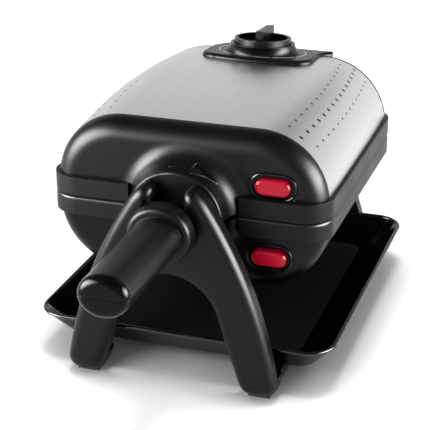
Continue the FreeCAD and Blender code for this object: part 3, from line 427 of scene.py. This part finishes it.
def metal(name, dark, light, shiny, dull, edge, anisotropy=0.0):
    """A rolled or brushed metal whose streaks run from front to back."""
    tree, surface = blank_material(name)
    surface.inputs["Metallic"].default_value = 1.0
    surface.inputs["Anisotropic"].default_value = anisotropy
    around = tree.nodes.new("ShaderNodeTangent")
    around.direction_type = "RADIAL"
    around.axis = "Y"
    link(tree, around, 0, surface, "Tangent")
    lines = place_group(tree, LINES, Shiny=shiny, Dull=dull)
    link(tree, lines, "Roughness", surface, "Roughness")
    link(tree, mixed(tree, dark, light, lines, "Tone"), "Result", surface, "Base Color")
    bumped(tree, surface, lines, BRUSH_BUMP, BRUSH_DEPTH, edge)


def object_height(tree):
    """The height of a point in its piece's own frame, and how far its surface faces up."""
    place = tree.nodes.new("ShaderNodeTexCoord")
    found = []
    for output in ("Object", "Normal"):
        parts = tree.nodes.new("ShaderNodeSeparateXYZ")
        link(tree, place, output, parts, 0)
        found.append(picked(tree, parts, "Z"))
    return found


def dressed(name, mask, **changes):
    """Change sockets of a finish where a mask is 1; elsewhere all stays."""
    tree = finishes[name].node_tree
    surface = next(n for n in tree.nodes if n.type == "BSDF_PRINCIPLED")
    for label, value in changes.items():
        socket = surface.inputs[label.replace("_", " ")]
        mix = tree.nodes.new("ShaderNodeMix")
        mix.data_type = "RGBA" if isinstance(value, tuple) else "FLOAT"
        ends = [i for i in mix.inputs if i.enabled and i.name in "AB"]
        if socket.links:
            tree.links.new(socket.links[0].from_socket, ends[0])
        else:
            ends[0].default_value = socket.default_value
        ends[1].default_value = value
        link(tree, mask, 0, mix, "Factor")
        tree.links.new([o for o in mix.outputs if o.enabled][0], socket)


print("finish helpers ready")

# %% [markdown]
# # Finishes
# Satin black for the mouldings, polished black for the handle's caps, glossy red for the buttons, a dry
# dark coat on the cast plates, brushed steel for the cover, and so on. Fine raised lips are polished a
# little more than the rest, so they have a finish of their own.

# %% Finishes
EDGE = 0.9 * MM
INK_BLACK = (0.002, 0.0022, 0.0026)
# colour, roughness where shiny and where dull, grain size, grain depth and edge radius
moulded("black_plastic", (0.0015, 0.0016, 0.0016), 0.30, 0.36, 1100, 0.05 * MM, EDGE, specular=0.18)
moulded("gloss_black", INK_BLACK, 0.10, 0.16, 500, 0.01 * MM, EDGE, specular=0.12)
moulded("red_plastic", (0.62, 0.006, 0.03), 0.18, 0.26, 500, 0.01 * MM, EDGE, specular=0.24)
moulded("coated_plate", (0.005, 0.005, 0.0052), 0.34, 0.44, 1500, 0.12 * MM, EDGE, specular=0.14)
moulded("rubber", (0.018, 0.018, 0.018), 0.70, 0.80, 900, 0.06 * MM, EDGE, specular=0.3)
moulded("nylon", (0.70, 0.69, 0.64), 0.40, 0.50, 900, 0.03 * MM, EDGE)
moulded("polished_lip", INK_BLACK, 0.10, 0.16, 500, 0.01 * MM, EDGE, specular=0.36)
moulded("tray_black", INK_BLACK, 0.30, 0.36, 500, 0.01 * MM, EDGE, specular=0.0, coat=0.6)
# two tones, roughness where shiny and where dull, and edge radius
metal("steel", (0.65, 0.65, 0.645), (0.72, 0.72, 0.715), 0.34, 0.44, 0, anisotropy=0.6)
metal("bare_aluminium", (0.66, 0.66, 0.68), (0.76, 0.76, 0.78), 0.30, 0.42, EDGE)
metal("bright_metal", (0.64, 0.64, 0.64), (0.74, 0.74, 0.74), 0.14, 0.22, EDGE)
print("finishes:", sorted(finishes))

# %% [markdown]
# # Tray finish
# The tray's sloped sides and its rim are polished, its floor is not, and the middle of the floor has a
# paler matt panel with round corners. The polish is a clear coat, whose weight a mask can take away from
# the floor. The panel is found by the distance from a smaller rectangle, which rounds its corners.

# %% Tray finish
TRAY_FLOOR = 26.0 * MM
TRAY_TOP = 33.5 * MM
FLOOR_FACING = (0.90, 0.99)
PANEL_TONE = (0.024, 0.024, 0.025, 1)
PANEL_MIDDLE = (0.0, 65.0 * MM, 0.0)
PANEL_HALF = (81.0 * MM, 102.0 * MM, 1.0)
PANEL_CORNER = 10.0 * MM
FADE = 0.6 * MM

tree = finishes["tray_black"].node_tree
height, upward = object_height(tree)
low_down = spread(tree, height, TRAY_FLOOR - FADE, TRAY_FLOOR + FADE, 1.0, 0.0)
level = sum_of(tree, "MULTIPLY", low_down, spread(tree, upward, *FLOOR_FACING, 0.0, 1.0))
dressed("tray_black", level, Coat_Weight=0.0)
lip = spread(tree, height, TRAY_TOP - FADE, TRAY_TOP + FADE, 0.0, 1.0)
dressed("tray_black", lip, Coat_Weight=1.0)

where, output = tree.nodes.new("ShaderNodeTexCoord"), "Object"
for operation, value in (
    ("SUBTRACT", PANEL_MIDDLE),
    ("ABSOLUTE", (0, 0, 0)),
    ("SUBTRACT", PANEL_HALF),
    ("MAXIMUM", (0, 0, 0)),
    ("LENGTH", (0, 0, 0)),
):
    step = tree.nodes.new("ShaderNodeVectorMath")
    step.operation = operation
    step.inputs[1].default_value = value
    link(tree, where, output, step, 0)
    where, output = step, 0
beyond = picked(tree, where, "Value")
panel = spread(tree, beyond, PANEL_CORNER, PANEL_CORNER + FADE, 1.0, 0.0)
dressed("tray_black", sum_of(tree, "MULTIPLY", level, panel), Base_Color=PANEL_TONE)
print("tray finish:", len(tree.nodes), "nodes")

# %% [markdown]
# # Underside and plate rims
# Low faces that look down, such as the housing's underside, are left matt from the mould. On the cast
# plates a narrow line just below the rim of the lower half is made metallic, glossier and paler: a
# painted highlight, which stands for the light that the rounded edge catches. Both are found by the
# height in the object's own frame.

# %% Underside and plate rims
UNDERSIDE = (78.0 * MM, 82.0 * MM)
DOWNWARD = (-0.995, -0.88)
MATT_BLACK = (0.012, 0.012, 0.012, 1)
# RIM_RISE, RIM_FALL and the paler metal tone draw a painted highlight along the lower plate's rim
RIM_TOP = 137.5 * MM
RIM_RISE = (RIM_TOP - 2.4 * MM, RIM_TOP - 1.6 * MM)
RIM_FALL = (RIM_TOP - 0.6 * MM, RIM_TOP - 0.2 * MM)
RIM_HIGHLIGHT_TONE = (0.05, 0.05, 0.05, 1)

tree = finishes["black_plastic"].node_tree
height, upward = object_height(tree)
beneath = spread(tree, height, *UNDERSIDE, 1.0, 0.0)
facing_down = spread(tree, upward, *DOWNWARD, 1.0, 0.0)
underneath = sum_of(tree, "MULTIPLY", beneath, facing_down)
dressed("black_plastic", underneath, Roughness=0.65, Base_Color=MATT_BLACK)

tree = finishes["coated_plate"].node_tree
height, upward = object_height(tree)
# painted highlight: a band just below the lower plate's rim is made metallic, glossier and paler, in
# place of the light its rounded edge catches
rising = spread(tree, height, *RIM_RISE, 0.0, 1.0)
falling = spread(tree, height, *RIM_FALL, 1.0, 0.0)
painted_rim_highlight = sum_of(tree, "MULTIPLY", rising, falling)
dressed("coated_plate", painted_rim_highlight, Metallic=0.7, Roughness=0.25, Base_Color=RIM_HIGHLIGHT_TONE)
print("underside and rims done")

# %% [markdown]
# # Dress the solids
# Every solid takes the finish that the record names for it. The tray takes its own. The dark ones, all
# but the lower housing, also join the collection that the two reflection lamps light.

# %% Dress the solids
DARK = ("black_plastic", "gloss_black", "red_plastic", "coated_plate", "rubber")
OWN_FINISH = {"drip_tray": "tray_black"}
UNLIT = ("lower_housing",)

for part in frame["record"]["subparts"]:
    node, slot = part["node"], part["material_slot"]
    mesh = nodes[node].data
    mesh.materials.clear()
    mesh.materials.append(finishes[OWN_FINISH.get(node, slot)])
    if slot in DARK and node not in UNLIT:
        dark_pieces.objects.link(nodes[node])

# %% [markdown]
# # Perforated steel cover
# The cover is one sheet of brushed steel bent over the lid. Three rows of vent holes run along each
# shoulder: small round ones, a row of short slots, and small round ones again. A flat grid is the
# sheet before bending; its cells are spaced so that every hole has a cell of its own. Each such cell
# gets an inset whose corners are cut into a ring, the ring's floor is taken out, and then all points
# are bent onto the shoulder curves. A solidify gives the sheet its gauge.

# %% The lid's section
AXIS_Z = 137.5 * MM
FRONT = -64.95 * MM
GAUGE = 0.2 * MM
FOOT = 15.6 * MM
SEAM = 22.6 * MM
STEEL_END = 228.0 * MM
# half width, height above the axis and shoulder radius at the seam, the middle and the end
FORMS = [
    (111.5 * MM, 65.5 * MM, 56.0 * MM),
    (112.0 * MM, 68.5 * MM, 50.0 * MM),
    (110.8 * MM, 65.0 * MM, 58.0 * MM),
]
HOLE_START = 32.3 * MM
HOLE_STEP = 6.7 * MM
SLOTS = 15
ROW_TOP, ROW_SLOT, ROW_LOW = 0.80, 0.635, 0.472
ROW_HALF = 0.042
STRIPS = {0.0, 0.13, 0.26, 0.36, 0.5535, 0.7175, 0.92, 1.0}
CROWN = [-0.6, -0.2, 0.2, 0.6]
TRIM = 0.1 * MM


def shoulder(along):
    """Half width, height and radius of the lid's section at a distance behind the band's front."""
    t = (along - SEAM) / (STEEL_END - SEAM)
    weights = (2 * (t - 0.5) * (t - 1), -4 * t * (t - 1), 2 * t * (t - 0.5))
    return [sum(w * form[i] for w, form in zip(weights, FORMS)) for i in range(3)]


def on_lid(across, along):
    """A point of the lid: across runs from -2 (left mouth) by -1 (left crown) to 2."""
    half, height, radius = shoulder(along)
    side = -1 if across < 0 else 1
    reach = abs(across)
    if reach <= 1:
        x, z = reach * (half - radius), height
    else:
        low = math.asin((FOOT - height + radius) / radius)
        turn = math.pi / 2 - (math.pi / 2 - low) * (reach - 1)
        x = half - radius + radius * math.cos(turn)
        z = height - radius + radius * math.sin(turn)
    return Vector((side * x, FRONT + along, AXIS_Z + z))


print("lid's section at the front:", [round(v, 4) for v in shoulder(SEAM)])

# %% Flat sheet


def lines_across():
    """Cell borders from the left mouth to the right one, with a narrow strip for each row."""
    strips = set(STRIPS)
    for row in (ROW_TOP, ROW_SLOT, ROW_LOW):
        strips |= {row - ROW_HALF, row + ROW_HALF}
    right = sorted(2 - share for share in strips)
    return [-v for v in reversed(right)] + CROWN + right


def lines_along():
    first = HOLE_START - HOLE_STEP / 2
    inner = [first + HOLE_STEP * n for n in range(2 * SLOTS)]
    return [SEAM + TRIM] + inner + [STEEL_END - TRIM]


def grid_of(across, along):
    """A flat grid whose points sit on given lines; x holds across and y holds along."""
    bm = bmesh.new()
    bmesh.ops.create_grid(bm, x_segments=len(across) - 1, y_segments=len(along) - 1, size=1)
    for point in bm.verts:
        column = round((point.co.x + 1) / 2 * (len(across) - 1))
        line = round((point.co.y + 1) / 2 * (len(along) - 1))
        point.co = (across[column], along[line], 0)
    return bm


print("sheet:", len(lines_across()) - 1, "by", len(lines_along()) - 1, "cells")

# %% Vent holes
SLOT_HOLE = (0.024, 1.45 * MM)
ROUND_HOLE = (0.014, 1.15 * MM)
NEAR_HOLE = 0.1


def ring_hole(bm, cell, half_across, half_along):
    """Turn a cell into a frame round an oval hole, whose floor is returned."""
    centre = cell.calc_center_median()
    bmesh.ops.inset_individual(bm, faces=[cell], thickness=HOLE_STEP / 10)
    reach = [max(abs(v.co[i] - centre[i]) for v in cell.verts) for i in range(2)]
    bmesh.ops.bisect_edges(bm, edges=cell.edges[:], cuts=2)
    for point in cell.verts:
        offset = point.co - centre
        turn = math.atan2(offset.y / reach[1], offset.x / reach[0])
        point.co = centre + Vector((half_across * math.cos(turn), half_along * math.sin(turn), 0))
    return cell


def cell_kind(centre):
    """Which hole, as half sizes across and along, a cell gets, if any."""
    share = 2 - abs(centre.x)
    number = (centre.y - HOLE_START) / HOLE_STEP
    if abs(number - round(number)) > NEAR_HOLE or not -0.5 < number < 2 * SLOTS - 1.5:
        return None
    if abs(share - ROW_SLOT) < ROW_HALF / 4 and round(number) % 2 == 0:
        return SLOT_HOLE
    if min(abs(share - ROW_TOP), abs(share - ROW_LOW)) < ROW_HALF / 4 and round(number) % 2:
        return ROUND_HOLE
    return None


print("vent holes: slots and rounds, half sizes", SLOT_HOLE, ROUND_HOLE)

# %% Bent and perforated sheet


def as_piece(name, bm, slot, body, sharp=40, finish=None):
    """Make an object of a finished bmesh, dress it in a finish and let it ride on a body."""
    mesh = bpy.data.meshes.new(name)
    bm.to_mesh(mesh)
    bm.free()
    mesh.shade_smooth()
    mesh.set_sharp_from_angle(angle=math.radians(sharp))
    mesh.materials.append(finishes[finish or slot])
    piece = bpy.data.objects.new(name, mesh)
    scene.collection.objects.link(piece)
    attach(piece, body)
    if slot in DARK:
        dark_pieces.objects.link(piece)
    print(name, len(mesh.polygons), "faces")
    return piece


DIAL_ALONG = 215.0 * MM
SHAFT_ROOM = 10.0 * MM

sheet = grid_of(lines_across(), lines_along())
cells = [(cell, cell_kind(cell.calc_center_median())) for cell in sheet.faces]
floors = [ring_hole(sheet, cell, *kind) for cell, kind in cells if kind]
print("vent holes:", len(floors))
for cell, kind in cells:
    middle = cell.calc_center_median()
    if not kind and abs(middle.x) < 0.1 and abs(middle.y - DIAL_ALONG) < SHAFT_ROOM:
        floors.append(cell)
bmesh.ops.delete(sheet, geom=floors, context="FACES_ONLY")
bmesh.ops.delete(sheet, geom=[e for e in sheet.edges if not e.link_faces], context="EDGES")
for point in sheet.verts:
    point.co = on_lid(point.co.x, point.co.y)
bmesh.ops.recalc_face_normals(sheet, faces=sheet.faces)
if max(sheet.faces, key=lambda f: f.calc_center_median().z).normal.z < 0:
    bmesh.ops.reverse_faces(sheet, faces=sheet.faces)
bmesh.ops.solidify(sheet, geom=sheet.faces[:], thickness=GAUGE)
cover = as_piece("perforated_cover", sheet, "steel", "upper_head", sharp=30)
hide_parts("steel_cover")
low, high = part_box("steel_cover")
heights = [v.co.z for v in cover.data.vertices]
print("crown of solid", round(high.z, 5), "and of sheet", round(max(heights), 5))

# %% [markdown]
# # Rotation arrow
# A curved arrow with a fine raised lip is moulded on the hub, above the leg, to show which way the head
# turns. It is drawn flat, with the way round the hub as one direction and the depth as the other.
# Insets inside the outline, each at its own height, make a lip of half-round section.
# Slices at small steps let the flat drawing bend, and it is then wrapped round the hub, which is a
# cone that flares into the shell's front.

# %% Rotation arrow
HUB_TIP = (-17.5 * MM, 38.3 * MM)
HUB_SLOPE = 0.0947
FLARE = 16.0 * MM
FLARE_START = -11.5 * MM
FLARE_CENTRE = (-10.0 * MM, 55.08 * MM)
HUB_MEAN = 39.0 * MM
ARROW_STEP = 2.5
ARROW = [
    (-8.0, -6.8), (9.5, -5.9), (10.4, 0.5), (34.0, -4.5),
    (23.1, -8.4), (12.1, -14.6), (9.6, -9.4), (-7.2, -9.8),
]
SKIRT = -0.3
ARROW_LIP, ARROW_FLOOR = 0.55, 0.05
LIP_TURN = 20


def hub_radius(depth):
    if depth < FLARE_START:
        return HUB_TIP[1] + HUB_SLOPE * (depth - HUB_TIP[0])
    return FLARE_CENTRE[1] - math.sqrt(FLARE ** 2 - (depth - FLARE_CENTRE[0]) ** 2)


def on_hub(point):
    """Wrap a flat point in millimetres (round, depth, lift) round the hub."""
    turn = point.x * MM / HUB_MEAN
    radius = hub_radius(point.y * MM) + point.z * MM
    return Vector((radius * math.sin(turn), FRONT + point.y * MM, AXIS_Z + radius * math.cos(turn)))


def half_round(radius, floor=0.0):
    """Insets, as widths and heights, that raise a lip of half-round section."""
    turns = [math.radians(turn) for turn in range(0, 181, LIP_TURN)]
    return [
        (radius * (math.cos(before) - math.cos(after)), max(radius * math.sin(after), floor))
        for before, after in zip(turns, turns[1:])
    ]


def lipped(bm, outline, rings):
    """A flat drawing whose insets stand at their own heights; returns the face in the middle."""
    drawing = bm.faces.new([bm.verts.new((x, y, SKIRT)) for x, y in outline])
    for width, lift in rings:
        bmesh.ops.inset_region(
            bm, faces=[drawing], thickness=width, use_boundary=True, use_even_offset=True)
        for point in drawing.verts:
            point.co.z = lift
    return drawing


arrow = bmesh.new()
lipped(arrow, ARROW, half_round(ARROW_LIP, ARROW_FLOOR))
steps = int((ARROW[3][0] - ARROW[0][0]) / ARROW_STEP)
for step in range(1, steps + 1):
    bmesh.ops.bisect_plane(arrow, geom=arrow.verts[:] + arrow.edges[:] + arrow.faces[:],
                           plane_co=(ARROW[0][0] + ARROW_STEP * step, 0, 0), plane_no=(1, 0, 0))
bmesh.ops.triangulate(arrow, faces=arrow.faces[:])
for point in arrow.verts:
    point.co = on_hub(point.co)
bmesh.ops.recalc_face_normals(arrow, faces=arrow.faces)
as_piece("rotation_arrow", arrow, "gloss_black", "upper_head", sharp=30, finish="polished_lip")

# %% [markdown]
# # Button rims
# Each release button sits in a stepped hollow, and a fine polished lip runs round the hollow's edge,
# where the mould's insert met the mould. The lip is drawn flat as the button's outline grown by a
# margin, raised by insets like the arrow, opened in the middle, and stood up against the step.

# %% Button rims
BUTTON_HALF = (14.2, 6.4)
BUTTON_PROUD = 3.5
STEP_DEPTH = 1.0
RIM_MARGIN = 4.8
RIM_RADIUS = 1.15
TURN_STEPS = 14


def stadium(half_width, half_height):
    """Corner points of an outline with two straight sides and two round ends."""
    points = []
    for side in (1, -1):
        for step in range(TURN_STEPS + 1):
            turn = math.pi * (step / TURN_STEPS - 0.5)
            points.append((
                side * (half_width - half_height + half_height * math.cos(turn)),
                side * half_height * math.sin(turn),
            ))
    return points


for half in ("upper", "lower"):
    low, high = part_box(half + "_button")
    middle = (low + high) / 2
    wall = low.y + (BUTTON_PROUD + STEP_DEPTH) * MM
    rim = bmesh.new()
    hollow = lipped(rim, stadium(*(size + RIM_MARGIN for size in BUTTON_HALF)), half_round(RIM_RADIUS))
    bmesh.ops.delete(rim, geom=[hollow], context="FACES")
    for point in rim.verts:
        x, y, lift = point.co
        point.co = (middle.x + x * MM, wall - lift * MM, middle.z + y * MM)
    bmesh.ops.recalc_face_normals(rim, faces=rim.faces)
    as_piece(half + "_button_rim", rim, "gloss_black", half + "_head", sharp=80, finish="polished_lip")

# %% [markdown]
# # Tray rim
# The tray's edge is rolled over, so that it is stiff and kind to the hands, and its round top catches
# the light. The roll is a half-round lip, like the ones round the buttons, on the tray's own outline.

# %% Tray rim
TRAY_LIP = 3.3
TRAY_CORNER = 24.0
CORNER_STEPS = 12


def rounded_rectangle(half_width, half_depth, corner):
    """Corner points of a rectangle with round corners, counter-clockwise."""
    points = []
    for quarter, (side, end) in enumerate(((1, 1), (-1, 1), (-1, -1), (1, -1))):
        for step in range(CORNER_STEPS + 1):
            turn = math.pi / 2 * (quarter + step / CORNER_STEPS)
            points.append((
                side * (half_width - corner) + corner * math.cos(turn),
                end * (half_depth - corner) + corner * math.sin(turn),
            ))
    return points


low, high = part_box("drip_tray")
middle = (low + high) / 2
reach = (high - low) / 2 / MM
roll = bmesh.new()
mouth = lipped(roll, rounded_rectangle(reach.x, reach.y, TRAY_CORNER), half_round(TRAY_LIP / 2))
bmesh.ops.delete(roll, geom=[mouth], context="FACES")
for point in roll.verts:
    x, y, lift = point.co
    point.co = (middle.x + x * MM, middle.y + y * MM, high.z + lift * MM)
bmesh.ops.recalc_face_normals(roll, faces=roll.faces)
as_piece("tray_rim", roll, "gloss_black", "tray", sharp=80, finish="tray_black")

# %% [markdown]
# # Dial scale
# A fine pale line is printed round the foot of the dial's collar, broken where the settings are. It
# starts as a circle of edges that is stretched to the collar's oval; the edges are extruded inwards
# for the line's width, the gaps are taken out, and a thin solidify makes the ink stand just proud.

# %% Dial scale
DIAL_TILT = math.radians(5)
DIAL_CENTRE = Vector((0, FRONT + DIAL_ALONG, 206.3 * MM))
SCALE_OVAL = (39.8 * MM, 27.8 * MM)
SCALE_LINE = 0.9 * MM
SCALE_PROUD = 0.15 * MM
SCALE_STEPS = 180
SCALE_GAPS = (150, 212, 238, 266, 292, 330)
GAP_HALF = 2.2
SCALE_BACK = (30, 150)
on_dial = Matrix.Translation(DIAL_CENTRE) @ Matrix.Rotation(-DIAL_TILT, 4, "X")

scale = bmesh.new()
bmesh.ops.create_circle(scale, cap_ends=False, radius=1, segments=SCALE_STEPS)
grown = bmesh.ops.extrude_edge_only(scale, edges=scale.edges[:])
inner = {v for v in grown["geom"] if isinstance(v, bmesh.types.BMVert)}
for point in scale.verts:
    line = SCALE_LINE if point in inner else 0
    point.co.x *= SCALE_OVAL[0] - line
    point.co.y *= SCALE_OVAL[1] - line


def in_gap(face):
    middle = face.calc_center_median()
    angle = math.degrees(math.atan2(middle.y / SCALE_OVAL[1], middle.x / SCALE_OVAL[0])) % 360
    return any(abs(angle - gap) < GAP_HALF for gap in SCALE_GAPS) or SCALE_BACK[0] < angle < SCALE_BACK[1]


bmesh.ops.delete(scale, geom=[f for f in scale.faces if in_gap(f)], context="FACES")
bmesh.ops.recalc_face_normals(scale, faces=scale.faces)
if scale.faces[:][0].normal.z < 0:
    bmesh.ops.reverse_faces(scale, faces=scale.faces)
bmesh.ops.translate(scale, verts=scale.verts, vec=(0, 0, SCALE_PROUD))
bmesh.ops.solidify(scale, geom=scale.faces[:], thickness=2 * SCALE_PROUD)
bmesh.ops.transform(scale, matrix=on_dial, verts=scale.verts)
as_piece("dial_scale", scale, "nylon", "upper_head")
